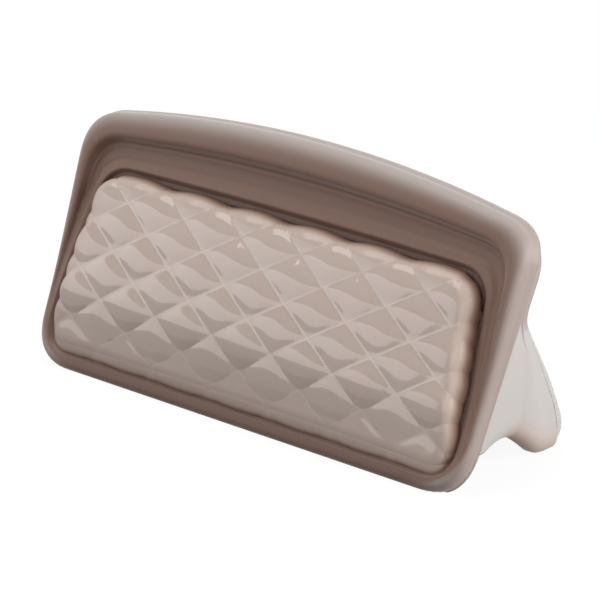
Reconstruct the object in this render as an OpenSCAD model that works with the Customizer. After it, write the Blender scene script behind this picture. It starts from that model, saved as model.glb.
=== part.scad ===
/* [Bag] */
// Width of the front wall at the foot
foot_w = 188; // [176:1:200]
// Width of the front wall at the lip
lip_w = 196; // [190:1:206]
// Slant height of the front wall at its top corners
wall_h = 88; // [87:1:96]
// Rise of the arched lip at mid-width
crown = 9.5; // [4:0.5:14]
// Lean of each wall from upright, in degrees
lean = 24.5; // [23:0.5:27]
// Slant height of the line where the two walls meet
fold_h = 57; // [55:1:58]
// Length of the corner curves at the top of a wall
top_r = 12; // [8:1:15]
// Length of the corner curves at the foot of a wall
foot_r = 17; // [12:1:20]
// How far the rear wall stays inside the front one
rear_in = 3; // [2:0.5:4]

/* [Quilt] */
// Width of one diamond
diamond_w = 26; // [22:0.5:32]
// Height of one diamond
diamond_h = 17.4; // [15:0.2:21]
// Rise of a diamond above the creases round it
diamond_rise = 3.4; // [1.5:0.1:3.6]
// Slant height of the middle of one row of diamonds
row_h = 25.4; // [20:0.2:30]
// Thickness of the wall along the creases at the edge of the quilt
quilt_t = 3.4; // [2.4:0.1:3.6]
// Swell of the quilt in the middle of a wall
swell = 2.5; // [0.5:0.1:2.8]
// Slant height of the lower edge of the quilt
quilt_low = 5; // [4:0.5:8]
// Slant height of the upper edge of the quilt
quilt_high = 70.5; // [68:0.5:72]
// Border beside the quilt at its lower edge
border_low = 5.5; // [5:0.5:8]
// Border beside the quilt at its upper edge
border_high = 15.5; // [15:0.5:18]
// Length of the corner curves of the quilt
quilt_r = 13; // [8:1:15]

/* [Rim] */
// Depth of the front lip, from the meeting face
lip_d = 11.5; // [9:0.5:12]
// Depth of the rear lip, from the meeting face
rear_lip_d = 6.5; // [6:0.5:8]
// Depth of the rim at the foot
foot_d = 5.8; // [5.2:0.2:7]
// Depth of the hollow under the lip
cove_d = 5; // [4.6:0.1:5.6]
// Rise of the small bead between the hollow and the quilt
bead_d = 0.8; // [0.3:0.1:1.2]

/* [Seal] */
// Slant height of the seal along the top
seal_h = 79; // [78:0.5:80]
// Distance of the seal from each side edge at the foot
seal_in = 7; // [6:0.5:8]
// Width of the two seal strips
strip_w = 6; // [5:0.5:6.5]
// Radius of the pressing bead
rib_r = 1.5; // [1:0.1:1.6]
// Room round the bead in its channel
rib_gap = 0.4; // [0.35:0.05:0.5]

/* [Gusset] */
// Thickness of the folded base and of the side webs
gusset_t = 1.6; // [1.2:0.1:1.8]
// Angle between each half of the base and its wall, in degrees
gusset_fold = 27; // [26:1:29]
// Room between the two halves of the base at their ridge
ridge_gap = 4.6; // [4.6:0.1:6]
// Distance of the webs inside the sides of the rear wall
web_in = 2; // [1.5:0.5:3]
// Depth of the tuck at the foot of each web
web_tuck = 10; // [4:1:14]

/* [Hidden] */
$fn = 48;

// Room between pieces that move against each other
gap = 0.3;
// Room between pieces that are seated in each other
seat_gap = 0.05;
// Size of the blocks that trim the walls
block = 400;
// Run of the wall below the floor, trimmed flat to make the foot
foot_run = 3.5;
// Height and distance of the fold line
fold_z = fold_h * cos(lean);
fold_y = fold_h * sin(lean);
// Slant heights between which the plain foot grows into the full lip
fade_low = 10;
fade_high = 86;
// Points along each straight run and each corner of a wall
run_n = 4;
corner_n = 7;
// Inner face of the quilt, its creases and the rim beside it, from the meeting face
quilt_in = 3.6;
crease_d = quilt_in + quilt_t;
groove_d = cove_d - 0.3;
// How fast the border beside the quilt widens towards the top
border_bend = 1.6;
// Middle and half of the height of the quilt
quilt_mid = (quilt_low + quilt_high) / 2;
quilt_half = (quilt_high - quilt_low) / 2;
// Size and height of the layers that round a diamond, as shares of the whole
diamond_layers = [[1.01, 0], [0.97, 0.16], [0.72, 0.62], [0.45, 0.9], [0.18, 1]];
layer_t = 0.02;
// Depth to which a diamond is rooted in the plate under it
root_d = 0.4;
// Rise of the diamonds at the edge of the quilt, as a share of the full rise
edge_rise = 0.45;
// Floor under the channel of the seal, base of the bead and corner of both
track_floor = 0.7;
track_d = rib_r + rib_gap + track_floor;
rib_base = 1.4;
seal_corner = 12;
seal_x = foot_w / 2 - seal_in;
seal_low = fold_h + 8;
track_low = seal_low - 1;
// Pivot line of the base at the foot of the front wall
pivot_s = 3;
pivot_n = gusset_t / 2 + gap;
pivot_y = pivot_n * cos(lean) - (fold_h - pivot_s) * sin(lean);
pivot_z = pivot_s * cos(lean) - pivot_n * sin(lean);
base_rise = 90 - lean - gusset_fold;
base_l = (-pivot_y - ridge_gap / 2 - gusset_t / 2 * sin(base_rise)) / cos(base_rise);
// Ends of the side webs
web_x = foot_w / 2 - rear_in - web_in;
web_top_z = fold_z - 4;
web_low_z = 8;
web_mid_z = pivot_z + base_l * sin(base_rise) + gusset_t;
// Half widths of the base at the foot and at its ridge
base_foot_x = foot_w / 2 - rear_in - foot_r * 0.55;
base_ridge_x = web_x - web_tuck - gusset_t - gap;

silicone = [0.74, 0.68, 0.64];
seal_tone = [0.70, 0.63, 0.58];
web_tone = [0.80, 0.76, 0.73];

function mix(a, b, t) = a + (b - a) * t;
function ease(t) = let (c = min(1, max(0, t))) c * c * (3 - 2 * c);
function curve(a, b, c, t) = (1 - t) * (1 - t) * a + 2 * t * (1 - t) * b + t * t * c;
function run(a, b, count) = [for (i = [0 : count - 1]) mix(a, b, i / count)];
function corner(a, b, c) = [for (i = [0 : corner_n - 1]) curve(a, b, c, i / corner_n)];

// Half width of a wall, its arched top edge and the side edge of its quilt
function half_w(s, inset) = mix(foot_w, lip_w, s / wall_h) / 2 - inset;
function arch(x, inset) = wall_h - inset + crown * (1 - pow(2 * x / lip_w, 2));
function border(s) =
    mix(border_low, border_high, pow((s - quilt_low) / (quilt_high - quilt_low), border_bend));
function quilt_edge(s, inset) = [half_w(s, inset) - border(s), s];
function wall_edge(s, inset) = [half_w(s, inset), s];

// Right half of the outer and inner edges, from the fold line to mid-width
function outer_up(inset) =
    let (top = wall_h - inset, h = half_w(top, inset), a = wall_edge(top - top_r, inset))
    let (x = h - top_r, c = [x, arch(x, inset)])
    concat(run(wall_edge(fold_h, inset), a, run_n), corner(a, [h, arch(h, inset)], c),
        [for (i = [0 : run_n]) let (xi = mix(x, 0, i / run_n)) [xi, arch(xi, inset)]]);
function inner_up(inset) =
    let (e = quilt_edge(quilt_high, inset), a = quilt_edge(quilt_high - quilt_r, inset))
    let (c = e - [quilt_r, 0])
    concat(run(quilt_edge(fold_h, inset), a, run_n), corner(a, e, c),
        [for (i = [0 : run_n]) mix(c, [0, quilt_high], i / run_n)]);
function outer_down(inset) =
    let (h = half_w(-foot_run, inset), a = wall_edge(foot_r - foot_run, inset))
    let (c = [h - foot_r, -foot_run])
    concat(run(wall_edge(fold_h, inset), a, run_n), corner(a, [h, -foot_run], c),
        [for (i = [0 : run_n]) mix(c, [0, -foot_run], i / run_n)]);
function inner_down(inset) =
    let (e = quilt_edge(quilt_low, inset), a = quilt_edge(quilt_low + quilt_r, inset))
    let (c = e - [quilt_r, 0])
    concat(run(quilt_edge(fold_h, inset), a, run_n), corner(a, e, c),
        [for (i = [0 : run_n]) mix(c, [0, quilt_low], i / run_n)]);

// A half edge followed by its mirror image, and a list from its end
function whole(half) = let (n = len(half))
    concat(half, [for (i = [1 : n - 1]) [-half[n - 1 - i][0], half[n - 1 - i][1]]]);
function back(list) = [for (i = [len(list) - 1 : -1 : 0]) list[i]];

// Rim section as share of the border width and depth, at the foot and at a lip
foot_section = [[0, groove_d], [0.1, groove_d], [0.2, mix(groove_d, foot_d, 0.4)],
    [0.3, mix(groove_d, foot_d, 0.8)], [0.42, foot_d], [0.55, foot_d], [0.68, foot_d - 0.2],
    [0.8, foot_d - 0.6], [0.92, foot_d - 1.4], [1, foot_d * 0.5], [1, 1.2], [0.96, gap / 2], [0, gap / 2]];
function lip_section(lip) = [[0, groove_d], [0.08, groove_d], [0.16, cove_d + bead_d],
    [0.26, cove_d + bead_d], [0.36, cove_d], [0.52, cove_d + 0.3], [0.62, mix(cove_d, lip, 0.75)],
    [0.75, lip], [0.9, lip * 0.97], [1, lip * 0.75], [0.97, lip * 0.35], [0.93, gap / 2], [0, gap / 2]];
function section(s, lip) = let (t = ease((s - fade_low) / (fade_high - fade_low)), l = lip_section(lip))
    [for (i = [0 : len(l) - 1]) mix(foot_section[i], l[i], t)];

// How far the quilt swells out at a point of a wall, from 0 at its edge to 1
function swelling(x, s) =
    max(0, 1 - pow(2 * x / foot_w, 2)) * max(0, 1 - pow((s - quilt_mid) / quilt_half, 2));

// Sweeps the rim section along matching outer and inner edges
module rim_sweep(outer, inner, lip) {
    k = len(foot_section);
    n = len(outer);
    points = [for (i = [0 : n - 1]) for (p = section(outer[i][1], lip))
        let (q = mix(inner[i], outer[i], p[0])) [q[0], q[1], p[1]]];
    sides = [for (i = [0 : n - 2]) for (j = [0 : k - 1]) let (a = i * k + j, b = i * k + (j + 1) % k)
        each [[a, a + k, b], [b, a + k, b + k]]];
    ends = [[for (j = [0 : k - 1]) j], [for (j = [k - 1 : -1 : 0]) (n - 1) * k + j]];
    polyhedron(points, concat(sides, ends), convexity = 8);
}

module upper_rim(inset, lip) {
    rim_sweep(whole(outer_up(inset)), whole(inner_up(inset)), lip);
}

module lower_rim(inset, lip) {
    rim_sweep(back(whole(outer_down(inset))), back(whole(inner_down(inset))), lip);
}

// One diamond of the quilt, rounded in layers over its creases
module diamond(lift, rise) {
    hull() {
        translate([0, 0, quilt_in + root_d])
            diamond_face(diamond_layers[0][0]);
        for (layer = diamond_layers)
            translate([0, 0, crease_d + lift + layer[1] * rise])
                diamond_face(layer[0]);
    }
}

module diamond_face(share) {
    linear_extrude(height = layer_t)
        scale([share * diamond_w / 2, share * diamond_h / 2])
            polygon([[1, 0], [0, 1], [-1, 0], [0, -1]]);
}

// Plate with rows of diamonds, as far as the inner edge of the rim
module quilt(inner, low, high) {
    cols = ceil(lip_w / diamond_w);
    intersection() {
        union() {
            translate([-lip_w / 2, 0, quilt_in])
                cube([lip_w, wall_h, quilt_t]);
            for (j = [floor((low - row_h) / diamond_h * 2) : ceil((high - row_h) / diamond_h * 2)])
                for (i = [-cols : cols])
                    if ((i + j) % 2 == 0)
                        diamond_at(i * diamond_w / 2, row_h + j * diamond_h / 2);
        }
        linear_extrude(height = crease_d + swell + diamond_rise + 1)
            polygon(whole(inner));
    }
}

module diamond_at(x, s) {
    share = swelling(x, s);
    translate([x, s, 0])
        diamond(swell * share, diamond_rise * mix(edge_rise, 1, ease(3 * share)));
}

// Puts a wall, drawn flat with its slant along Y and its outside along Z, in place
module on_wall() {
    translate([0, -fold_y, 0])
        rotate([90 - lean, 0, 0])
            children();
}

// Keeps what lies between two heights
module between(low, high) {
    intersection() {
        children();
        translate([-block / 2, -block / 2, low])
            cube([block, block, high - low]);
    }
}

// Keeps what lies between two slant heights of a flat wall
module along(low, high) {
    intersection() {
        children();
        translate([-block / 2, low, -block / 2])
            cube([block, high - low, block]);
    }
}

// Inverted U of the seal, as a plate and as a round rod
module seal_plate(width, depth, low) {
    linear_extrude(height = depth)
        difference() {
            seal_face(width / 2, low);
            seal_face(-width / 2, low - 1);
        }
}

module seal_face(grow, low) {
    half = seal_x + grow;
    top = seal_h + grow;
    r = seal_corner + grow;
    intersection() {
        translate([-half, low])
            square([2 * half, top - low]);
        union() {
            translate([-half, low])
                square([2 * half, top - r - low]);
            translate([r - half, low])
                square([2 * (half - r), top - low]);
            for (side = [-1, 1])
                translate([side * (half - r), top - r])
                    circle(r = r);
        }
    }
}

module seal_rod(r, low) {
    for (side = [-1, 1])
        translate([side * seal_x, low, 0])
            rotate([-90, 0, 0])
                cylinder(r = r, h = seal_h - seal_corner - low);
    translate([seal_corner - seal_x, seal_h, 0])
        rotate([0, 90, 0])
            cylinder(r = r, h = 2 * (seal_x - seal_corner));
    for (side = [0, 1])
        mirror([side, 0, 0])
            translate([seal_x - seal_corner, seal_h - seal_corner, 0])
                rotate_extrude(angle = 90)
                    translate([seal_corner, 0])
                        circle(r = r);
}

module front_rim_lower() {
    color(silicone)
        between(0, block)
            on_wall()
                along(-block / 2, fold_h - gap / 2)
                    lower_rim(0, lip_d);
}

module front_quilt_lower() {
    color(silicone)
        on_wall()
            along(-block / 2, fold_h - gap / 2)
                quilt(inner_down(0), quilt_low, fold_h);
}

module front_rim_upper() {
    color(silicone)
        on_wall()
            difference() {
                along(fold_h + gap / 2, block / 2)
                    upper_rim(0, lip_d);
                translate([0, 0, -gap])
                    seal_plate(strip_w + 2 * seat_gap, rib_base + 2 * gap, seal_low - seat_gap);
            }
}

module front_quilt_upper() {
    color(silicone)
        on_wall()
            along(fold_h + gap / 2, block / 2)
                quilt(inner_up(0), fold_h, quilt_high);
}

module rear_rim_upper() {
    color(silicone)
        between(fold_z + gap / 2, block)
            on_wall()
                mirror([0, 0, 1])
                    difference() {
                        upper_rim(rear_in, rear_lip_d);
                        translate([0, 0, -gap])
                            seal_plate(strip_w + 2 * seat_gap, track_d + gap + seat_gap,
                                track_low - seat_gap);
                    }
}

module rear_quilt_upper() {
    color(silicone)
        between(fold_z + gap / 2, block)
            on_wall()
                mirror([0, 0, 1])
                    quilt(inner_up(rear_in), fold_h, quilt_high);
}

module rear_rim_lower() {
    color(silicone)
        between(0, fold_z - gap / 2)
            mirror([0, 1, 0])
                on_wall()
                    lower_rim(rear_in, rear_lip_d);
}

module rear_quilt_lower() {
    color(silicone)
        between(0, fold_z - gap / 2)
            mirror([0, 1, 0])
                on_wall()
                    quilt(inner_down(rear_in), quilt_low, fold_h);
}

module seal_rib() {
    color(seal_tone)
        on_wall() {
            translate([0, 0, gap / 2])
                seal_plate(strip_w, rib_base, seal_low);
            seal_rod(rib_r, seal_low);
        }
}

module seal_track() {
    color(seal_tone)
        on_wall()
            mirror([0, 0, 1])
                difference() {
                    translate([0, 0, gap / 2])
                        seal_plate(strip_w, track_d - gap / 2, track_low);
                    seal_rod(rib_r + rib_gap, track_low - 1);
                }
}

// Side web, seated on the front wall and tucked inwards at the middle of its foot
module web() {
    front = (gap / 2 - seat_gap) / cos(lean);
    rear = -gap / 2 / cos(lean);
    top_y = (fold_z - web_top_z) * tan(lean);
    low_y = (fold_z - web_low_z) * tan(lean);
    face = [[web_x, -top_y - front, web_top_z], [web_x, top_y + rear, web_top_z],
        [web_x, low_y + rear, web_low_z], [web_x - web_tuck, 0, web_mid_z],
        [web_x, -low_y - front, web_low_z]];
    inside = [for (p = face) p - [gusset_t, 0, 0]];
    polyhedron(concat(face, inside), [[0, 4, 3], [0, 3, 1], [1, 3, 2],
        [5, 8, 9], [5, 6, 8], [6, 7, 8],
        [0, 1, 6, 5], [1, 2, 7, 6], [2, 3, 8, 7], [3, 4, 9, 8], [4, 0, 5, 9]], convexity = 4);
}

module web_right() {
    color(web_tone)
        web();
}

module web_left() {
    color(web_tone)
        mirror([1, 0, 0])
            web();
}

module gusset_half() {
    translate([0, pivot_y, pivot_z])
        rotate([base_rise, 0, 0]) {
            translate([0, 0, -gusset_t / 2])
                linear_extrude(height = gusset_t)
                    polygon([[-base_foot_x, 0], [base_foot_x, 0],
                        [base_ridge_x, base_l], [-base_ridge_x, base_l]]);
            rotate([0, 90, 0])
                cylinder(d = gusset_t, h = 2 * base_foot_x, center = true);
        }
}

module gusset_front() {
    color(web_tone)
        gusset_half();
}

module gusset_rear() {
    color(web_tone)
        mirror([0, 1, 0])
            gusset_half();
}

front_rim_lower();
front_rim_upper();
front_quilt_lower();
front_quilt_upper();
rear_rim_upper();
rear_rim_lower();
rear_quilt_upper();
rear_quilt_lower();
seal_rib();
seal_track();
web_left();
web_right();
gusset_front();
gusset_rear();
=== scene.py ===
"""Looks of a stand-up silicone storage bag, built around its packed parts."""

import math

import bmesh
import bpy
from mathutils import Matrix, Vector


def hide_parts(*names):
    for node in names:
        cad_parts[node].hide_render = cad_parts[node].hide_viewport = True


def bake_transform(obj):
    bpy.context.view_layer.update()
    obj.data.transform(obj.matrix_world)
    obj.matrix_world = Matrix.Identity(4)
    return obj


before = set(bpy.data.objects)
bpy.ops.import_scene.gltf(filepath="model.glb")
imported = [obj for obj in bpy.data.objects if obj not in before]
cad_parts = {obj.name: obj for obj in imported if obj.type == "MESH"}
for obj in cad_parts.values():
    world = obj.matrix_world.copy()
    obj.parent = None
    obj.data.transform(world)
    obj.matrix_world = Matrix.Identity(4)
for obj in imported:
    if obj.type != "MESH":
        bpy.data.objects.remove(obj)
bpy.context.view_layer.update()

bl_info = {
    "name": "Silicone Bag",
    "version": (1, 0, 0),
    "blender": (4, 5, 0),
    "location": "3D View > Sidebar > Bag",
    "description": "Builds a quilted stand-up silicone bag and a plain stage for it",
    "category": "Add Mesh",
}

# Shapes of the walls and the grid of the quilts
FLARE_TURN = 0.6  # share of a half wave that the flare of the rear leg takes from fold to foot
CORNER_ROUND = 0.85  # radius of a corner of the quilt, as a share of the length of its curve
UP_SPREAD = 0.6  # how far the rows of the grid crowd towards the edges
ACROSS_SPREAD = 0.3  # how far the columns of the grid crowd towards the edges
FRONT_REACH = 0.010  # half of the slant length over which the front wall bends
REAR_REACH = 0.008  # half of the slant length over which the rear wall bends
WELD = 1e-6  # distance within which points of a rim are joined

# Painted light and shade of the rims, in shares of the half width of the wall and of the width of the
# border
END_START = 0.75  # where the two ends of the foot begin
END_RUN = 0.2  # over which the tone changes to that of the ends
SHEEN_START = 0.7  # where the painted sheen on the outer edge begins
SHEEN_START_END = 0.4  # where it begins at the ends of the foot
SHEEN_RUN = 0.25  # over which the painted sheen grows

# Shapes of the webs and their painted shade, in shares of their height from the top
WEB_START = 4  # steps of the wall's outer edge above the fold line where a web begins
OUT_TOP = 0.3  # over which the rear edge comes out at the top
OUT_FOOT = 0.15  # over which it goes back in at the foot
WRAP_START = 0.65  # where the rear edge begins to draw back on the rear leg
WRAP_RUN = 0.3  # over which it draws back
WRAP_LOSS = 0.65  # share of its depth that it loses
FRONT_PULL = 0.4  # pull on the curve of the front part, as a share of its way
LOBE_PULL = 0.2  # pull on the rear part at the fold, as a share of the whole way
REAR_PULL = 0.45  # pull on the rear part at the rear edge, as a share of its length
UNDERSIDE_SHADE_START = 0.7  # where the painted shade on the underside begins
UNDERSIDE_SHADE_RUN = 0.3  # over which it grows
UNDERSIDE_SHADE_BLEND = 0.2  # over which it fades in front of the fold, as a share from front to rear

# Finish of the silicone
SILICONE_IOR = 1.41
SCATTER = (1.0, 0.7, 0.55)  # how far red, green and blue light spreads
CLOUD_SIZE = 42.0  # scale of the cloudiness
CLOUD_TINT = 0.04  # share by which the cloudiness darkens and lightens a colour
CREASE_HIGHLIGHT_WIDTH = 0.04  # half width of a painted highlight along a crease, as a share of a diamond

# Stage: the place, width and height of each light, where they point, and the floor
LIGHTS = {
    "top": ((-0.35, 0.0, 1.0), 0.9, 0.7),
    "side": ((1.0, 0.3, 0.35), 0.9, 0.6),
    "card": ((-0.84, -0.76, 0.32), 1.8, 0.62),
    "fill": ((0.5, -0.5, 0.25), 0.4, 0.4),
}
LIGHT_AIM = (0.0, 0.0, 0.05)
FLOOR_HALF = 4.0
FLOOR_GREY = 0.08
FLOOR_GLOW = 0.92  # what the camera sees of the floor before the lights reach it


def length(name, description, default):
    """Setting for a length in metres."""
    return bpy.props.FloatProperty(
        name=name, description=description, default=default, unit="LENGTH", precision=5
    )


def number(name, description, default):
    """Setting for a plain number."""
    return bpy.props.FloatProperty(
        name=name, description=description, default=default, precision=4
    )


def count(name, description, default):
    """Setting for a number of steps."""
    return bpy.props.IntProperty(name=name, description=description, default=default, min=2)


def tone(name, description, default):
    """Setting for a colour."""
    return bpy.props.FloatVectorProperty(
        name=name, description=description, default=default, size=3, subtype="COLOR", min=0, max=1
    )


class BagWall(bpy.types.PropertyGroup):
    """Outline of the two walls."""

    foot_w: length("Foot width", "Width of the front wall at the foot", 0.188)
    lip_w: length("Lip width", "Width of the front wall at the lip", 0.1938)
    wall_h: length("Wall height", "Slant height at the top corners", 0.088)
    crown: length("Crown", "Rise of the arched lip at mid-width", 0.0095)
    lean: bpy.props.FloatProperty(
        name="Lean",
        description="Lean of each wall from upright",
        default=math.radians(25.5),
        subtype="ANGLE",
    )
    fold_h: length("Fold height", "Slant height of the line where the walls meet", 0.057)
    top_r: length("Top corner", "Length of the corner curves at the top", 0.013)
    foot_r: length("Foot corner", "Length of the corner curves at the foot", 0.017)
    rear_foot_r: length("Rear foot corner", "Length of the corner curves at the rear foot", 0.010)
    foot_run: length("Foot run", "Run of the wall below the middle of the foot", 0.0022)
    rear_in: length("Rear inset", "How far the rear wall stays inside the front one", 0.0015)
    flare: length("Flare", "How far the sides of the rear leg bulge above its foot", 0.0022)
    bend: length("Bend", "Half length of the bend in the rear wall", 0.009)
    belly: length("Belly", "Outward bow of the rear leg", 0.0016)


class BagQuilt(bpy.types.PropertyGroup):
    """Quilted panels."""

    diamond_w: length("Diamond width", "Width of one diamond", 0.026)
    diamond_h: length("Diamond height", "Height of one diamond", 0.0174)
    rise: length("Rise", "Rise of a diamond above its creases", 0.0013)
    row_h: length("Row height", "Slant height of the middle of one row", 0.0254)
    puff: number("Puff", "How flat the diamonds are on top", 2.3)
    edge_rise: number("Edge rise", "Share of the rise left at the edge", 0.7)
    fade: length("Fade", "Distance from the edge over which the rise grows", 0.008)
    low: length("Lower edge", "Slant height of the lower edge", 0.005)
    high: length("Upper edge", "Slant height of the upper edge", 0.069)
    border_low: length("Lower border", "Border beside the lower edge", 0.0065)
    border_high: length("Upper border", "Border beside the upper edge", 0.0155)
    border_bend: number("Border bend", "How fast the border widens to the top", 1.6)
    corner: length("Corner", "Length of the corner curves", 0.010)
    crease: length("Crease depth", "Creases at the edge, from the meeting face", 0.0106)
    crease_low: length("Lower crease", "Creases at the lower edge, from the meeting face", 0.0066)
    lift: length("Lift", "Slant length over which the creases rise from the lower edge", 0.024)
    swell: length("Swell", "Swell in the middle of the wall", 0.0030)
    floor: length("Edge depth", "Foot of the edge, from the meeting face", 0.0038)
    roll: length("Edge roll", "Radius of the rolled edge", 0.0050)
    scallop: length("Scallop", "How far the edge is drawn out beside a diamond", 0.0012)
    soft: number("Soft foot", "Share of the rise and the scallops left at the lower edge", 0.35)
    soft_h: length("Soft height", "Slant length over which the rise grows from the foot", 0.021)
    # Painted shade: the foot of the quilt's edge is painted in the rim's darker tone
    tint: length("Edge tint", "Distance over which the edge takes the tone of the rim", 0.0022)
    skin: length("Thickness", "Thickness of the panel", 0.0018)
    across: count("Steps across", "Steps across the panel", 320)
    up: count("Steps up", "Steps up the panel", 128)


class BagRim(bpy.types.PropertyGroup):
    """Moulded borders."""

    lip_d: length("Front lip", "Depth of the front lip", 0.0115)
    rear_lip_d: length("Rear lip", "Depth of the rear lip", 0.0085)
    taper: number("Taper", "Share of the depth that the lip loses towards its corners", 0.2)
    foot_d: length("Foot depth", "Depth of the rim at the foot", 0.0058)
    rear_foot_d: length("Rear foot", "Depth of the rear rim at the foot", 0.0080)
    cove_d: length("Cove depth", "Depth of the hollow under the lip", 0.0050)
    bead_d: length("Bead rise", "Rise of the bead beside the quilt", 0.0008)
    groove_d: length("Groove depth", "Depth of the rim beside the quilt", 0.0042)
    gap: length("Gap", "Half of the gap between the two walls", 0.00015)
    fade_low: length("Fade start", "Slant height at which the lip begins to grow", 0.010)
    fade_high: length("Fade end", "Slant height at which the lip is full", 0.086)
    # Painted light: the rear leg of the rim is painted in the paler web tone, as on its lit side
    pale: length("Paling", "Half length of the change of tone at the fold of the rear rim", 0.012)
    # Painted sheen: the outer edges, the lip and the foot corners are painted paler where light and
    # sheen fall
    edge_sheen: number("Edge paling", "How much paler the outer edge is at the sides", 0.47)
    lip_sheen: number("Lip paling", "How much paler the outer edge is on the lip", 0.54)
    edge_fade: length("Edge fade", "Slant height at which the outer edge is pale", 0.010)
    corner_sheen: number("Foot corners", "How far the foot corners keep the paler edge", 1.0)
    # Painted shade: the foot of the rims and the groove beside the quilt are painted darker where
    # shade falls
    foot_shade: number("Foot", "How much darker the foot is", 0.4)
    deep: number("Groove share", "Share of the border that the groove darkens", 0.16)
    groove_shade_low: number("Groove at the foot", "Share of the groove's tone left at the foot", 0.1)
    around: count("Steps around", "Steps along each straight run", 22)
    turn: count("Steps in a corner", "Steps in each corner", 14)
    section: count("Steps in the section", "Steps round the moulding", 90)


class BagWeb(bpy.types.PropertyGroup):
    """Side webs."""

    front_end: number("Front end", "Share of the front foot corner that the web follows", 0.0)
    rear_end: number("Rear end", "Share of the rear foot corner that the web follows", 0.8)
    inset: length("Inset", "Front edge inside its wall, rear edge outside the rear leg", 0.0004)
    seat: length("Seat", "Depth of the front edge on the front wall", 0.0016)
    wrap: length("Wrap", "Depth of the rear edge on the rear leg", 0.0042)
    fold_top: number("Fold top", "Place of the fold between front and rear, at the top", 0.66)
    fold_low: number("Fold foot", "Place of the fold between front and rear, at the foot", 0.47)
    tuck: length("Tuck", "Depth of the fold at the foot", 0.0015)
    notch: length("Notch", "Rise of the lower edge at the fold", 0.0048)
    bulge: length("Bulge", "Bulge of the rear part at the foot", 0.004)
    drop: length("Drop", "Sag of the rear part at the foot", 0.004)
    skin: length("Thickness", "Thickness of the web", 0.0012)
    # Painted shade: the underside at the foot of the webs is painted warmer and darker
    warm: number("Warm foot", "How far the lower edge takes its warmer tone", 0.8)
    across: count("Steps across", "Steps from front to rear", 64)
    up: count("Steps up", "Steps from foot to top", 64)


class BagLooks(bpy.types.PropertyGroup):
    """Colours of the silicone."""

    rim: tone("Rim", "Thick moulded silicone", (0.175, 0.098, 0.069))
    # Paler than the rim partly as thin silicone and partly as painted light that shines through it
    # from behind
    quilt: tone("Quilt", "Thin quilted silicone", (0.456, 0.361, 0.311))
    # Painted highlight along the creases
    crease: tone("Crease", "Thin silicone along the creases", (0.505, 0.415, 0.366))
    # Painted shade in the groove beside the quilt and on the foot of the rims
    groove: tone("Groove", "Silicone in the groove beside the quilt", (0.056, 0.022, 0.014))
    web: tone("Web", "Thin smooth silicone", (0.38, 0.356, 0.34))
    # Painted shade on the underside at the foot of the webs
    warm: tone("Warm foot", "Silicone at the foot of the webs", (0.39, 0.25, 0.185))
    seal: tone("Seal", "Silicone of the seal", (0.38, 0.31, 0.27))


class BagStage(bpy.types.PropertyGroup):
    """Camera and light."""

    lens: number("Lens", "Focal length of the camera in mm", 192.0)
    azimuth: number("Azimuth", "Camera angle to the right, in degrees", 39.53)
    elevation: number("Elevation", "Camera angle above the floor, in degrees", 21.71)
    distance: length("Distance", "Distance of the camera from its target", 1.0815)
    target_x: length("Target X", "Target of the camera across", 0.00487)
    target_z: length("Target Z", "Target of the camera above the floor", 0.03807)
    world: number("World", "Level of the surroundings", 0.16)
    top: number("Top light", "Power of the light above", 8.5)
    side: number("Side light", "Power of the light on the right", 17.0)
    card: number("Card", "Power of the card on the left", 6.6)
    fill: number("Fill", "Power of the weak light on the right of the front", 1.4)


def mix(a, b, t):
    """Value between a and b at a share t."""
    return a + (b - a) * t


def ease(t):
    """Smooth step from 0 to 1."""
    c = min(1.0, max(0.0, t))
    return c * c * (3 - 2 * c)


def point_mix(a, b, t):
    """Point between a and b at a share t."""
    return (mix(a[0], b[0], t), mix(a[1], b[1], t))


def run(a, b, steps):
    """Points of a straight line, without its end."""
    return [point_mix(a, b, i / steps) for i in range(steps)]


def corner(a, b, c, steps):
    """Points of a curve from a to c, drawn towards b, without its end."""
    return [
        point_mix(point_mix(a, b, i / steps), point_mix(b, c, i / steps), i / steps)
        for i in range(steps)
    ]


def along(points, t):
    """Point of a broken line at a share of its length."""
    left = t * sum(math.dist(a, b) for a, b in zip(points, points[1:]))
    for a, b in zip(points, points[1:]):
        step = math.dist(a, b)
        if left <= step:
            return point_mix(a, b, left / step)
        left -= step
    return points[-1]


def bezier(a, b, c, d, t):
    """Point of a curve from a to d, drawn towards b and c."""
    return a.lerp(b, t).lerp(b.lerp(c, t), t).lerp(b.lerp(c, t).lerp(c.lerp(d, t), t), t)


def spline(points, t):
    """Point of a smooth open curve through the points, for t from 0 to 1."""
    spans = len(points) - 1
    i = min(spans - 1, int(t * spans))
    f = t * spans - i
    square, cube = f * f, f * f * f
    a, b = points[i], points[i + 1]
    before = points[max(0, i - 1)]
    after = points[min(spans, i + 2)]
    out = []
    for k in range(len(a)):
        slope_a = (b[k] - before[k]) / 2
        slope_b = (after[k] - a[k]) / 2
        out.append(
            (2 * cube - 3 * square + 1) * a[k]
            + (cube - 2 * square + f) * slope_a
            + (3 * square - 2 * cube) * b[k]
            + (cube - square) * slope_b
        )
    return out


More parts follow.
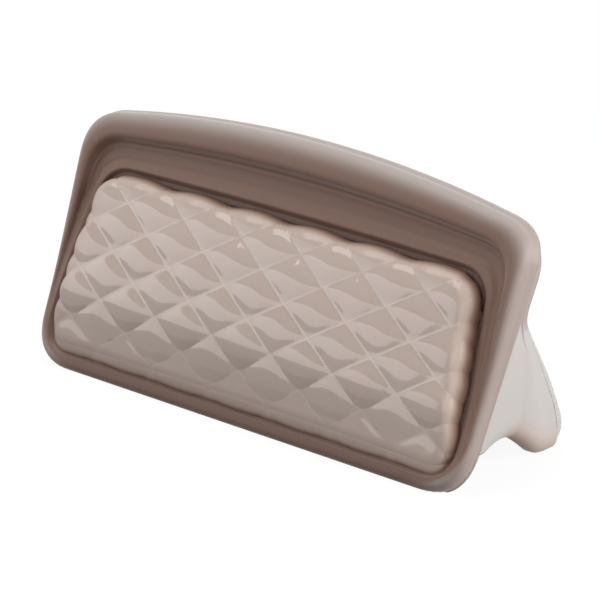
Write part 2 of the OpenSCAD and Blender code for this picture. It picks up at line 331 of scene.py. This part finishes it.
class Wall:
    """One wall of the bag: its edges, its moulding and its place.

    A point of it has a width x, a slant height s and a depth n from the meeting face.
    w, q and r are the settings of the walls, the quilts and the rims.
    """

    def __init__(self, scene, rear):
        self.w, self.q, self.r = scene.bag_wall, scene.bag_quilt, scene.bag_rim
        self.rear = rear
        self.inset = self.w.rear_in if rear else 0.0
        self.lip = self.r.rear_lip_d if rear else self.r.lip_d
        self.foot = self.r.rear_foot_d if rear else self.r.foot_d
        self.foot_r = self.w.rear_foot_r if rear else self.w.foot_r

    def half_w(self, s):
        """Half width of the wall at a slant height."""
        w = self.w
        width = mix(w.foot_w, w.lip_w, s / w.wall_h) / 2 - self.inset
        if self.rear and s < w.fold_h:
            down = min(1.0, 1 - s / w.fold_h)
            width += w.flare * math.sin(math.pi * down * FLARE_TURN) ** 2
        return width

    def arch(self, x):
        """Slant height of the upper edge."""
        return self.w.wall_h - self.inset + self.w.crown * (1 - (2 * x / self.w.lip_w) ** 2)

    def quilt_x(self, s):
        """Half width of the quilt at a slant height, without its rounded corners."""
        q = self.q
        t = max(0.0, (s - q.low) / (q.high - q.low))
        return self.half_w(s) - mix(q.border_low, q.border_high, t**q.border_bend)

    def outer(self):
        """Right half of the outer edge, from the top middle to the foot middle."""
        w, n, k = self.w, self.r.around, self.r.turn
        top, low = w.wall_h - self.inset, -w.foot_run
        top_half, foot_half = self.half_w(top), self.half_w(low)
        lip_end = top_half - w.top_r
        lip_corner = (top_half, self.arch(top_half))
        side_top = (self.half_w(top - w.top_r), top - w.top_r)
        fold = (self.half_w(w.fold_h), w.fold_h)
        side_foot = (self.half_w(low + self.foot_r), low + self.foot_r)
        foot_corner = (foot_half, low)
        foot_end = (foot_half - self.foot_r, low)
        line = [(x, self.arch(x)) for x in (lip_end * i / n for i in range(n))]
        line += corner((lip_end, self.arch(lip_end)), lip_corner, side_top, k)
        line += run(side_top, fold, n) + run(fold, side_foot, n)
        line += corner(side_foot, foot_corner, foot_end, k)
        line += run(foot_end, (0.0, low), n) + [(0.0, low)]
        return line

    def side(self, share):
        """Outer edge from just above the fold line down to a share of the foot corner."""
        n, k = self.r.around, self.r.turn
        start = 2 * n + k - WEB_START
        end = 3 * n + k + round(share * k) + 1
        return self.outer()[start:end]

    def inner(self):
        """Right half of the edge of the quilt, point for point beside the outer edge."""
        w, q, n, k = self.w, self.q, self.r.around, self.r.turn
        top_corner = (self.quilt_x(q.high), q.high)
        top_end = (top_corner[0] - q.corner, q.high)
        side_top = (self.quilt_x(q.high - q.corner), q.high - q.corner)
        side_foot = (self.quilt_x(q.low + q.corner), q.low + q.corner)
        foot_corner = (self.quilt_x(q.low), q.low)
        foot_end = (foot_corner[0] - q.corner, q.low)
        line = run((0.0, q.high), top_end, n) + corner(top_end, top_corner, side_top, k)
        for start, end in ((side_top[1], w.fold_h), (w.fold_h, side_foot[1])):
            heights = [mix(start, end, i / n) for i in range(n)]
            line += [(self.quilt_x(s), s) for s in heights]
        line += corner(side_foot, foot_corner, foot_end, k)
        line += run(foot_end, (0.0, q.low), n) + [(0.0, q.low)]
        return line

    def section(self, x, s, t):
        """Share of the border width and depth of the moulding, for t from 0 to 1."""
        r, foot_d = self.r, self.foot
        lip_d = self.lip * (1 - r.taper * (2 * x / self.w.lip_w) ** 2)
        foot = [
            # Inner face and groove
            (0.0, r.gap), (0.0, r.groove_d * 0.5), (0.0, r.groove_d), (0.1, r.groove_d),
            # Rise out of the groove
            (0.2, mix(r.groove_d, foot_d, 0.35)), (0.3, mix(r.groove_d, foot_d, 0.75)),
            # Even middle
            (0.38, foot_d), (0.46, foot_d), (0.54, foot_d), (0.62, foot_d * 0.99),
            # Round outer edge
            (0.71, foot_d * 0.97), (0.8, foot_d * 0.92), (0.9, foot_d * 0.8),
            (0.97, foot_d * 0.62), (1.0, foot_d * 0.42), (1.0, foot_d * 0.2),
            # Meeting face
            (0.97, r.gap), (0.0, r.gap),
        ]
        top = [
            # Inner face and groove
            (0.0, r.gap), (0.0, r.groove_d * 0.5), (0.0, r.groove_d), (0.08, r.groove_d),
            # Bead beside the quilt
            (0.13, r.cove_d + r.bead_d * 0.8), (0.19, r.cove_d + r.bead_d),
            (0.26, r.cove_d + r.bead_d * 0.9),
            # Hollow under the lip
            (0.33, r.cove_d), (0.44, r.cove_d * 0.97), (0.535, r.cove_d),
            # Lip
            (0.575, mix(r.cove_d, lip_d, 0.55)), (0.60, mix(r.cove_d, lip_d, 0.86)),
            (0.68, lip_d), (0.82, lip_d * 0.99), (0.94, lip_d * 0.84), (1.0, lip_d * 0.5),
            # Meeting face
            (0.97, r.gap), (0.0, r.gap),
        ]
        up = ease((s - r.fade_low) / (r.fade_high - r.fade_low))
        return point_mix(spline(foot, t), spline(top, t), up)

    def row_half(self, s):
        """Half width of the quilt at a slant height, with its rounded corners."""
        q = self.q
        if s > q.high - q.corner:
            side, tip = self.quilt_x(q.high - q.corner), self.quilt_x(q.high)
            room = q.high - s
        elif s < q.low + q.corner:
            side, tip = self.quilt_x(q.low + q.corner), self.quilt_x(q.low)
            room = s - q.low
        else:
            return self.quilt_x(s)
        t = 1 - math.sqrt(max(0.0, room / q.corner))
        return (1 - t) ** 2 * side + 2 * t * (1 - t) * tip + t * t * (tip - q.corner)

    def edge_room(self, x, s):
        """Distance from the edge of the quilt."""
        q = self.q
        dx = max(0.0, self.quilt_x(s) - abs(x))
        dy = max(0.0, min(q.high - s, s - q.low))
        radius = q.corner * CORNER_ROUND
        if dx < radius and dy < radius:
            return max(0.0, radius - math.hypot(radius - dx, radius - dy))
        return min(dx, dy)

    def lattice(self, x, s):
        """Place in the lattice of diamonds, whole numbers at the middles of the diamonds."""
        q = self.q
        across, up = x / q.diamond_w, (s - q.row_h) / q.diamond_h
        return across + up, across - up

    def diamond(self, x, s):
        """Share of the rise of the diamonds."""
        rise = 1.0
        for place in self.lattice(x, s):
            rise *= 1 - abs(2 * (place - round(place))) ** self.q.puff
        return rise

    def quilt_depth(self, x, s):
        """Depth and relief of the quilt, how far a place is inside its edge, and how much painted
        shade in the rim's tone it takes beside the edge.
        """
        q, w = self.q, self.w
        mid, half = (q.low + q.high) / 2, (q.high - q.low) / 2
        swell = max(0.0, 1 - (2 * x / w.foot_w) ** 2) * max(0.0, 1 - ((s - mid) / half) ** 2)
        room = self.edge_room(x, s)
        relief = self.diamond(x, s) * q.rise * mix(q.edge_rise, 1.0, ease(room / q.fade))
        relief *= mix(q.soft, 1.0, ease((s - q.low) / q.soft_h))
        base = mix(q.crease_low, q.crease, ease((s - q.low) / q.lift))
        full = base + q.swell * swell + relief
        if room < q.roll:
            full = mix(q.floor, full, math.sqrt(max(0.0, 1 - (1 - room / q.roll) ** 2)))
        # The last value is the painted shade along the foot of the edge
        return full, relief, ease(room / q.fade), 1 - ease(room / q.tint)

    def scallop(self, x, s):
        """Place with the edge of the quilt drawn out beside each diamond."""
        q = self.q
        out = q.scallop * self.diamond(x, s)
        side = 1 - ease((self.row_half(s) - abs(x)) / q.fade)
        top = 1 - ease((q.high - s) / q.fade)
        foot = q.soft * (1 - ease((s - q.low) / q.fade))
        return x + math.copysign(out * side, x), s + out * (top - foot)

    def place(self, x, s, n):
        """Point of the bag for a width, a slant height and a depth of this wall."""
        w = self.w
        sine, cosine = math.sin(w.lean), math.cos(w.lean)
        fold_y, fold_z = w.fold_h * sine, w.fold_h * cosine
        if not self.rear:
            return Vector((x, -fold_y + s * sine - n * cosine, max(0.0, s * cosine + n * sine)))
        low, high = w.fold_h - w.bend, w.fold_h + w.bend
        if s <= low:
            y, z, way_y, way_z = fold_y - s * sine, s * cosine, -sine, cosine
        elif s >= high:
            y, z, way_y, way_z = s * sine - fold_y, s * cosine, sine, cosine
        else:
            t = (s - low) / (high - low)
            a = ((w.fold_h - low) * sine, low * cosine)
            b = (0.0, fold_z)
            c = ((high - w.fold_h) * sine, high * cosine)
            y, z = point_mix(point_mix(a, b, t), point_mix(b, c, t), t)
            way_y, way_z = (mix(b[k] - a[k], c[k] - b[k], t) for k in (0, 1))
            size = math.hypot(way_y, way_z)
            way_y, way_z = way_y / size, way_z / size
        bow = w.belly * math.sin(math.pi * s / w.fold_h) if 0 < s < w.fold_h else 0.0
        n += bow * min(1.0, n / self.foot)
        return Vector((x, y + n * way_z, max(0.0, z - n * way_y)))


def new_object(name, bm, material, smooth=True):
    """Object of a finished mesh, with its material and outward normals."""
    bmesh.ops.recalc_face_normals(bm, faces=bm.faces[:])
    mesh = bpy.data.meshes.new(name)
    bm.to_mesh(mesh)
    bm.free()
    mesh.materials.append(material)
    for face in mesh.polygons:
        face.use_smooth = smooth
    obj = bpy.data.objects.new(name, mesh)
    bpy.context.scene.collection.objects.link(obj)
    return obj


def spread(t, share):
    """Steps from -1 to 1, drawn closer together at both ends by a share."""
    return mix(t, math.sin(math.pi * t / 2), share)


def build_quilt(wall, name, material):
    """Quilted panel of a wall, rolled in at its edge."""
    q = wall.q
    bm = bmesh.new()
    bmesh.ops.create_grid(bm, x_segments=q.across, y_segments=q.up, size=1.0)
    mid, half = (q.low + q.high) / 2, (q.high - q.low) / 2
    relief = bm.verts.layers.float.new("relief")
    field = bm.verts.layers.float.new("field")
    lattice = bm.verts.layers.float_vector.new("lattice")
    # Mask of the painted shade along the foot of the edge
    edge = bm.verts.layers.float.new("edge")
    for v in bm.verts:
        s = mid + half * spread(v.co.y, UP_SPREAD)
        x = wall.row_half(s) * spread(v.co.x, ACROSS_SPREAD)
        depth, v[relief], v[field], v[edge] = wall.quilt_depth(x, s)
        v[lattice] = (*wall.lattice(x, s), 0.0)
        v.co = wall.place(*wall.scallop(x, s), depth)
    if wall.rear:
        bmesh.ops.reverse_faces(bm, faces=bm.faces[:])
    bmesh.ops.solidify(bm, geom=bm.faces[:], thickness=q.skin)
    return new_object(name, bm, material)


def rim_tones(wall, edge_x, edge_s, share, s):
    """How far a rim is painted paler for light and sheen and darker for shade, at a share of its
    border and a slant height.
    """
    w, r = wall.w, wall.r
    # Painted light on the rear leg below the fold
    leg = ease((w.fold_h + r.pale - s) / (2 * r.pale)) if wall.rear else 0.0
    end = ease((edge_x / wall.half_w(0.0) - END_START) / END_RUN)
    low = (1 - ease(edge_s / r.edge_fade)) * (1 - r.corner_sheen * end)
    high = ease((edge_s - w.wall_h) / w.crown + 1)
    # Painted sheen on the outer edge, strongest on the lip and kept at the foot corners
    inward = mix(SHEEN_START, SHEEN_START_END, end * (1 - ease(edge_s / (2 * r.edge_fade))))
    edge = mix(r.edge_sheen, r.lip_sheen, high) * ease((share - inward) / SHEEN_RUN) * (1 - low)
    # Painted shade in the groove beside the quilt, fading towards the foot, and on the foot band
    # itself
    groove = (1 - ease(share / r.deep)) * mix(r.groove_shade_low, 1.0, ease(edge_s / w.wall_h))
    return max(leg, edge), max(groove, r.foot_shade * low)


def build_rim(wall, name, material):
    """Moulded border of a wall, a closed ring between the quilt and the outer edge."""
    outer, inner = wall.outer(), wall.inner()
    half = len(outer) - 1
    around = 2 * half
    bm = bmesh.new()
    bmesh.ops.create_grid(bm, x_segments=around, y_segments=wall.r.section, size=1.0)
    # Masks where the rim is painted paler for light and sheen, and darker for shade
    pale = bm.verts.layers.float.new("pale")
    deep = bm.verts.layers.float.new("deep")
    for v in bm.verts:
        i = round((v.co.x + 1) / 2 * around)
        t = (v.co.y + 1) / 2
        j, side = (i, 1) if i <= half else (around - i, -1)
        share, depth = wall.section(*outer[j], t)
        x, s = point_mix(inner[j], outer[j], share)
        v.co = wall.place(side * x, s, depth)
        v[pale], v[deep] = rim_tones(wall, *outer[j], share, s)
    bmesh.ops.remove_doubles(bm, verts=bm.verts[:], dist=WELD)
    return new_object(name, bm, material)


def build_web(scene, side, name, material):
    """Side web between the edges of the two walls, folded inwards towards the foot."""
    p = scene.bag_web
    front, rear = Wall(scene, False), Wall(scene, True)
    front_edge, rear_edge = front.side(p.front_end), rear.side(p.rear_end)
    bm = bmesh.new()
    bmesh.ops.create_grid(bm, x_segments=p.across, y_segments=p.up, size=1.0)
    warm = bm.verts.layers.float.new("warm")
    for v in bm.verts:
        back, down = (v.co.x + 1) / 2, (1 - v.co.y) / 2
        x, s = along(front_edge, down)
        start = front.place(x - p.inset, s, p.seat)
        x, s = along(rear_edge, down)
        over = mix(-p.inset, p.inset, ease(down / OUT_TOP) * ease((1 - down) / OUT_FOOT))
        wrap = p.wrap * (1 - WRAP_LOSS * ease((down - WRAP_START) / WRAP_RUN))
        end = rear.place(x + over, s, wrap)
        way = end - start
        share = mix(p.fold_top, p.fold_low, ease(down))
        fold = start + way * share + Vector((-p.tuck * down**3, 0, p.notch * down**4))
        if back < share:
            pull = way * share * FRONT_PULL
            point = bezier(start, start + pull, fold - pull, fold, back / share)
        else:
            lobe = way * LOBE_PULL + Vector((p.bulge * down**2, 0, -p.drop * down**3))
            reach = Vector((0, -REAR_PULL * (end - fold).length, 0))
            point = bezier(fold, fold + lobe, end + reach, end, (back - share) / (1 - share))
        v.co = (side * point.x, point.y, max(point.z, p.skin))
        # Painted shade on the underside of the rear part, towards the foot
        rear_part = ease((back - share) / UNDERSIDE_SHADE_BLEND + 1)
        v[warm] = p.warm * ease((down - UNDERSIDE_SHADE_START) / UNDERSIDE_SHADE_RUN) * rear_part
    if side < 0:
        bmesh.ops.reverse_faces(bm, faces=bm.faces[:])
    bmesh.ops.solidify(bm, geom=bm.faces[:], thickness=p.skin)
    return new_object(name, bm, material)


def cloudiness():
    """Node group with a faint cloudiness for poured silicone."""
    group = bpy.data.node_groups.new("cloudiness", "ShaderNodeTree")
    group.interface.new_socket("Size", in_out="INPUT", socket_type="NodeSocketFloat")
    group.interface.new_socket("Cloud", in_out="OUTPUT", socket_type="NodeSocketFloat")
    nodes, links = group.nodes, group.links
    entry = nodes.new("NodeGroupInput")
    leave = nodes.new("NodeGroupOutput")
    coords = nodes.new("ShaderNodeTexCoord")
    noise = nodes.new("ShaderNodeTexNoise")
    noise.inputs["Detail"].default_value = 3.0
    noise.inputs["Roughness"].default_value = 0.55
    links.new(coords.outputs["Object"], noise.inputs["Vector"])
    links.new(entry.outputs["Size"], noise.inputs["Scale"])
    links.new(noise.outputs["Fac"], leave.inputs["Cloud"])
    return group


def silicone(name, colour, cloud, roughness, soft=0.0, depth=0.002):
    """Faintly cloudy silicone; soft is the share of light that spreads inside it, to a depth."""
    material = bpy.data.materials.new(name)
    material.use_nodes = True
    nodes, links = material.node_tree.nodes, material.node_tree.links
    shader = nodes["Principled BSDF"]
    shader.inputs["Roughness"].default_value = roughness
    shader.inputs["IOR"].default_value = SILICONE_IOR
    shader.inputs["Subsurface Weight"].default_value = soft
    shader.inputs["Subsurface Radius"].default_value = SCATTER
    shader.inputs["Subsurface Scale"].default_value = depth
    group = nodes.new("ShaderNodeGroup")
    group.node_tree = cloud
    group.inputs["Size"].default_value = CLOUD_SIZE
    tint = nodes.new("ShaderNodeMix")
    tint.data_type = "RGBA"
    tint.inputs["A"].default_value = (*(c * (1 - CLOUD_TINT) for c in colour), 1.0)
    tint.inputs["B"].default_value = (*(min(1.0, c * (1 + CLOUD_TINT)) for c in colour), 1.0)
    links.new(group.outputs["Cloud"], tint.inputs["Factor"])
    links.new(tint.outputs["Result"], shader.inputs["Base Color"])
    return material


def attribute(nodes, name):
    """Node that reads an attribute of the mesh."""
    node = nodes.new("ShaderNodeAttribute")
    node.attribute_name = name
    return node


def calculate(nodes, links, operation, first, second):
    """Output of a math node for two values, each a socket or a number."""
    node = nodes.new("ShaderNodeMath")
    node.operation = operation
    for entry, value in zip(node.inputs, (first, second)):
        if isinstance(value, (int, float)):
            entry.default_value = value
        else:
            links.new(value, entry)
    return node.outputs["Value"]


def tone_by(material, mask, colour):
    """Turn the colour of a material to another one where a mask says so."""
    nodes, links = material.node_tree.nodes, material.node_tree.links
    base = nodes["Principled BSDF"].inputs["Base Color"]
    blend = nodes.new("ShaderNodeMix")
    blend.data_type = "RGBA"
    blend.inputs["B"].default_value = (*colour, 1.0)
    links.new(mask, blend.inputs["Factor"])
    links.new(base.links[0].from_socket, blend.inputs["A"])
    links.new(blend.outputs["Result"], base)


def crease_highlights(nodes, links):
    """Mask of the painted highlights along the creases between the diamonds, half a step from their
    middles.
    """
    half = 0.5
    split = nodes.new("ShaderNodeSeparateXYZ")
    links.new(attribute(nodes, "lattice").outputs["Vector"], split.inputs["Vector"])
    a = calculate(nodes, links, "PINGPONG", split.outputs["X"], half)
    b = calculate(nodes, links, "PINGPONG", split.outputs["Y"], half)
    line = nodes.new("ShaderNodeMapRange")
    line.interpolation_type = "SMOOTHSTEP"
    line.inputs["From Min"].default_value = half - CREASE_HIGHLIGHT_WIDTH
    line.inputs["From Max"].default_value = half
    links.new(calculate(nodes, links, "MAXIMUM", a, b), line.inputs["Value"])
    field = attribute(nodes, "field").outputs["Fac"]
    return calculate(nodes, links, "MULTIPLY", line.outputs["Result"], field)


def rim_silicone(name, colour, pale, deep, cloud):
    """Thick silicone of the rims, painted paler on the rear leg and outer edge for light and sheen,
    and painted darker in the groove and on the foot for shade.
    """
    material = silicone(name, colour, cloud, roughness=0.5, soft=0.5)
    nodes = material.node_tree.nodes
    shader = nodes["Principled BSDF"]
    shader.inputs["Sheen Weight"].default_value = 0.24
    shader.inputs["Sheen Roughness"].default_value = 0.4
    # Painted light and sheen in the web's tone on the rear leg and the outer edge
    tone_by(material, attribute(nodes, "pale").outputs["Fac"], pale)
    # Painted shade in the groove and on the foot
    tone_by(material, attribute(nodes, "deep").outputs["Fac"], deep)
    return material


def quilt_silicone(name, colour, pale, rim, cloud):
    """Thin quilted silicone: light from behind evens out the relief, its paler tone is partly painted
    light shining through, and the surface shines.
    """
    material = silicone(name, colour, cloud, roughness=0.5)
    nodes, links = material.node_tree.nodes, material.node_tree.links
    shader = nodes["Principled BSDF"]
    shader.inputs["Specular IOR Level"].default_value = 0.0
    shader.inputs["Coat Roughness"].default_value = 0.07
    shader.inputs["Coat IOR"].default_value = 1.54
    links.new(attribute(nodes, "field").outputs["Fac"], shader.inputs["Coat Weight"])
    bump = nodes.new("ShaderNodeBump")
    bump.inputs["Strength"].default_value = 1.0
    bump.inputs["Distance"].default_value = -0.58
    links.new(attribute(nodes, "relief").outputs["Fac"], bump.inputs["Height"])
    links.new(bump.outputs["Normal"], shader.inputs["Normal"])
    # Painted highlights along the creases
    tone_by(material, crease_highlights(nodes, links), pale)
    # Painted shade in the rim's tone along the foot of the edge
    tone_by(material, attribute(nodes, "edge").outputs["Fac"], rim)
    return material


def web_silicone(name, colour, warm, cloud):
    """Thin smooth silicone, with painted shade in a warmer, darker tone along the foot."""
    material = silicone(name, colour, cloud, roughness=0.42)
    tone_by(material, attribute(material.node_tree.nodes, "warm").outputs["Fac"], warm)
    return material


def looks(scene):
    """Materials with the four silicones of the bag, made once."""
    if "bag_rim" not in bpy.data.materials:
        c = scene.bag_looks
        cloud = cloudiness()
        # The web's tone is painted onto the rim as light and sheen, and the groove's tone as shade
        rim_silicone("bag_rim", c.rim, c.web, c.groove, cloud)
        quilt_silicone("bag_quilt", c.quilt, c.crease, c.rim, cloud)
        web_silicone("bag_web", c.web, c.warm, cloud)
        silicone("bag_seal", c.seal, cloud, roughness=0.4, soft=0.4, depth=0.003)
    return bpy.data.materials


def bend_points(wall):
    """Points of a wall before and after its fold line, between which its pieces bend."""
    s = wall.w.fold_h
    reach = REAR_REACH if wall.rear else FRONT_REACH
    return wall.place(0.0, s - reach, 0.0), wall.place(0.0, s + reach, 0.0)


class BAG_OT_quilts(bpy.types.Operator):
    """Build the two quilted panels"""

    bl_idname = "bag.quilts"
    bl_label = "Quilted Panels"

    def execute(self, context):
        material = looks(context.scene)["bag_quilt"]
        front, rear = Wall(context.scene, False), Wall(context.scene, True)
        panel = build_quilt(front, "front_quilt", material)
        start, end = bend_points(front)
        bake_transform(panel)
        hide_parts("front_quilt_lower", "front_quilt_upper")
        panel = build_quilt(rear, "rear_quilt", material)
        start, end = bend_points(rear)
        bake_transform(panel)
        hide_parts("rear_quilt_lower", "rear_quilt_upper")
        return {"FINISHED"}


class BAG_OT_rims(bpy.types.Operator):
    """Build the two moulded borders"""

    bl_idname = "bag.rims"
    bl_label = "Moulded Borders"

    def execute(self, context):
        material = looks(context.scene)["bag_rim"]
        front, rear = Wall(context.scene, False), Wall(context.scene, True)
        rim = build_rim(front, "front_rim", material)
        start, end = bend_points(front)
        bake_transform(rim)
        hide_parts("front_rim_lower", "front_rim_upper")
        rim = build_rim(rear, "rear_rim", material)
        start, end = bend_points(rear)
        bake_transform(rim)
        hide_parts("rear_rim_lower", "rear_rim_upper")
        return {"FINISHED"}


class BAG_OT_webs(bpy.types.Operator):
    """Build the two side webs"""

    bl_idname = "bag.webs"
    bl_label = "Side Webs"

    def execute(self, context):
        material = looks(context.scene)["bag_web"]
        for side, name, node in ((1, "web_r", "web_right"), (-1, "web_l", "web_left")):
            web = build_web(context.scene, side, name, material)
            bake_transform(web)
            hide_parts(node)
        return {"FINISHED"}


class BAG_OT_seal(bpy.types.Operator):
    """Give the seal strips and the folded base their silicone"""

    bl_idname = "bag.seal"
    bl_label = "Seal and Base"

    def execute(self, context):
        found = looks(context.scene)
        for node, look in (
            ("seal_rib", "bag_seal"),
            ("seal_track", "bag_seal"),
            ("gusset_front", "bag_web"),
            ("gusset_rear", "bag_web"),
        ):
            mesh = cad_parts[node].data
            mesh.materials.clear()
            mesh.materials.append(found[look])
        return {"FINISHED"}


def add_light(name, power, place, width, height):
    """Rectangular light that points at the bag."""
    data = bpy.data.lights.new(name, "AREA")
    data.shape = "RECTANGLE"
    data.size, data.size_y = width, height
    data.energy = power
    obj = bpy.data.objects.new(name, data)
    obj.location = place
    obj.rotation_mode = "QUATERNION"
    obj.rotation_quaternion = (Vector(LIGHT_AIM) - Vector(place)).to_track_quat("-Z", "Y")
    bpy.context.scene.collection.objects.link(obj)


def seen_rays(nodes, links):
    """Value that is 1 for what the camera sees, also in a shiny surface."""
    path = nodes.new("ShaderNodeLightPath")
    value = path.outputs["Is Camera Ray"]
    for name in ("Is Glossy Ray", "Is Transmission Ray"):
        value = calculate(nodes, links, "MAXIMUM", value, path.outputs[name])
    return value


def build_floor():
    """Plain pale floor, white to the camera except where the bag shades it."""
    bm = bmesh.new()
    bmesh.ops.create_grid(bm, x_segments=1, y_segments=1, size=FLOOR_HALF)
    material = bpy.data.materials.new("floor")
    material.use_nodes = True
    nodes, links = material.node_tree.nodes, material.node_tree.links
    shader = nodes["Principled BSDF"]
    shader.inputs["Base Color"].default_value = (FLOOR_GREY, FLOOR_GREY, FLOOR_GREY, 1.0)
    shader.inputs["Roughness"].default_value = 0.9
    shader.inputs["Specular IOR Level"].default_value = 0.0
    shader.inputs["Emission Color"].default_value = (1.0, 1.0, 1.0, 1.0)
    level = calculate(nodes, links, "MULTIPLY", seen_rays(nodes, links), FLOOR_GLOW)
    links.new(level, shader.inputs["Emission Strength"])
    floor = new_object("floor", bm, material, smooth=False)


def build_world(level):
    """White surroundings, full where they are seen and weaker as a light."""
    world = bpy.data.worlds.new("studio")
    bpy.context.scene.world = world
    world.use_nodes = True
    nodes, links = world.node_tree.nodes, world.node_tree.links
    back = nodes["Background"]
    back.inputs["Color"].default_value = (1.0, 1.0, 1.0, 1.0)
    pick = nodes.new("ShaderNodeMix")
    pick.data_type = "FLOAT"
    pick.inputs["A"].default_value = level
    pick.inputs["B"].default_value = 1.0
    links.new(seen_rays(nodes, links), pick.inputs["Factor"])
    links.new(pick.outputs["Result"], back.inputs["Strength"])


def build_camera(scene):
    """Camera that looks at the bag from the right and from above."""
    p = scene.bag_stage
    turn, tilt = math.radians(p.azimuth), math.radians(p.elevation)
    level = math.cos(tilt)
    back = Vector((math.sin(turn) * level, -math.cos(turn) * level, math.sin(tilt)))
    data = bpy.data.cameras.new("camera")
    data.lens = p.lens
    data.sensor_width = 36.0
    data.clip_start = 0.01
    data.clip_end = 20.0
    camera = bpy.data.objects.new("camera", data)
    camera.location = Vector((p.target_x, 0.0, p.target_z)) + back * p.distance
    camera.rotation_mode = "QUATERNION"
    camera.rotation_quaternion = (-back).to_track_quat("-Z", "Y")
    scene.collection.objects.link(camera)
    scene.camera = camera


class BAG_OT_stage(bpy.types.Operator):
    """Set up the floor, the lights and the camera"""

    bl_idname = "bag.stage"
    bl_label = "Stage"

    def execute(self, context):
        scene = context.scene
        p = scene.bag_stage
        build_floor()
        build_world(p.world)
        for name, (place, width, height) in LIGHTS.items():
            add_light(name, getattr(p, name), place, width, height)
        build_camera(scene)
        scene.view_settings.view_transform = "Standard"
        return {"FINISHED"}


class BAG_PT_panel(bpy.types.Panel):
    """Sidebar panel of the bag"""

    bl_idname = "BAG_PT_panel"
    bl_label = "Silicone Bag"
    bl_space_type = "VIEW_3D"
    bl_region_type = "UI"
    bl_category = "Bag"

    def draw(self, context):
        layout = self.layout
        for group in GROUPS:
            box = layout.box()
            box.label(text=group.__doc__)
            settings = getattr(context.scene, GROUPS[group])
            for name in group.__annotations__:
                box.prop(settings, name)
        for operator in OPERATORS:
            layout.operator(operator.bl_idname)


GROUPS = {
    BagWall: "bag_wall",
    BagQuilt: "bag_quilt",
    BagRim: "bag_rim",
    BagWeb: "bag_web",
    BagLooks: "bag_looks",
    BagStage: "bag_stage",
}
OPERATORS = (BAG_OT_quilts, BAG_OT_rims, BAG_OT_webs, BAG_OT_seal, BAG_OT_stage)


def register():
    for group, name in GROUPS.items():
        bpy.utils.register_class(group)
        setattr(bpy.types.Scene, name, bpy.props.PointerProperty(type=group))
    for item in (*OPERATORS, BAG_PT_panel):
        bpy.utils.register_class(item)


def unregister():
    for item in (BAG_PT_panel, *reversed(OPERATORS)):
        bpy.utils.unregister_class(item)
    for group, name in GROUPS.items():
        delattr(bpy.types.Scene, name)
        bpy.utils.unregister_class(group)


def main():
    """Build the bag and its stage."""
    register()
    bpy.ops.bag.quilts()
    bpy.ops.bag.rims()
    bpy.ops.bag.webs()
    bpy.ops.bag.seal()
    bpy.ops.bag.stage()


if __name__ == "__main__":
    main()
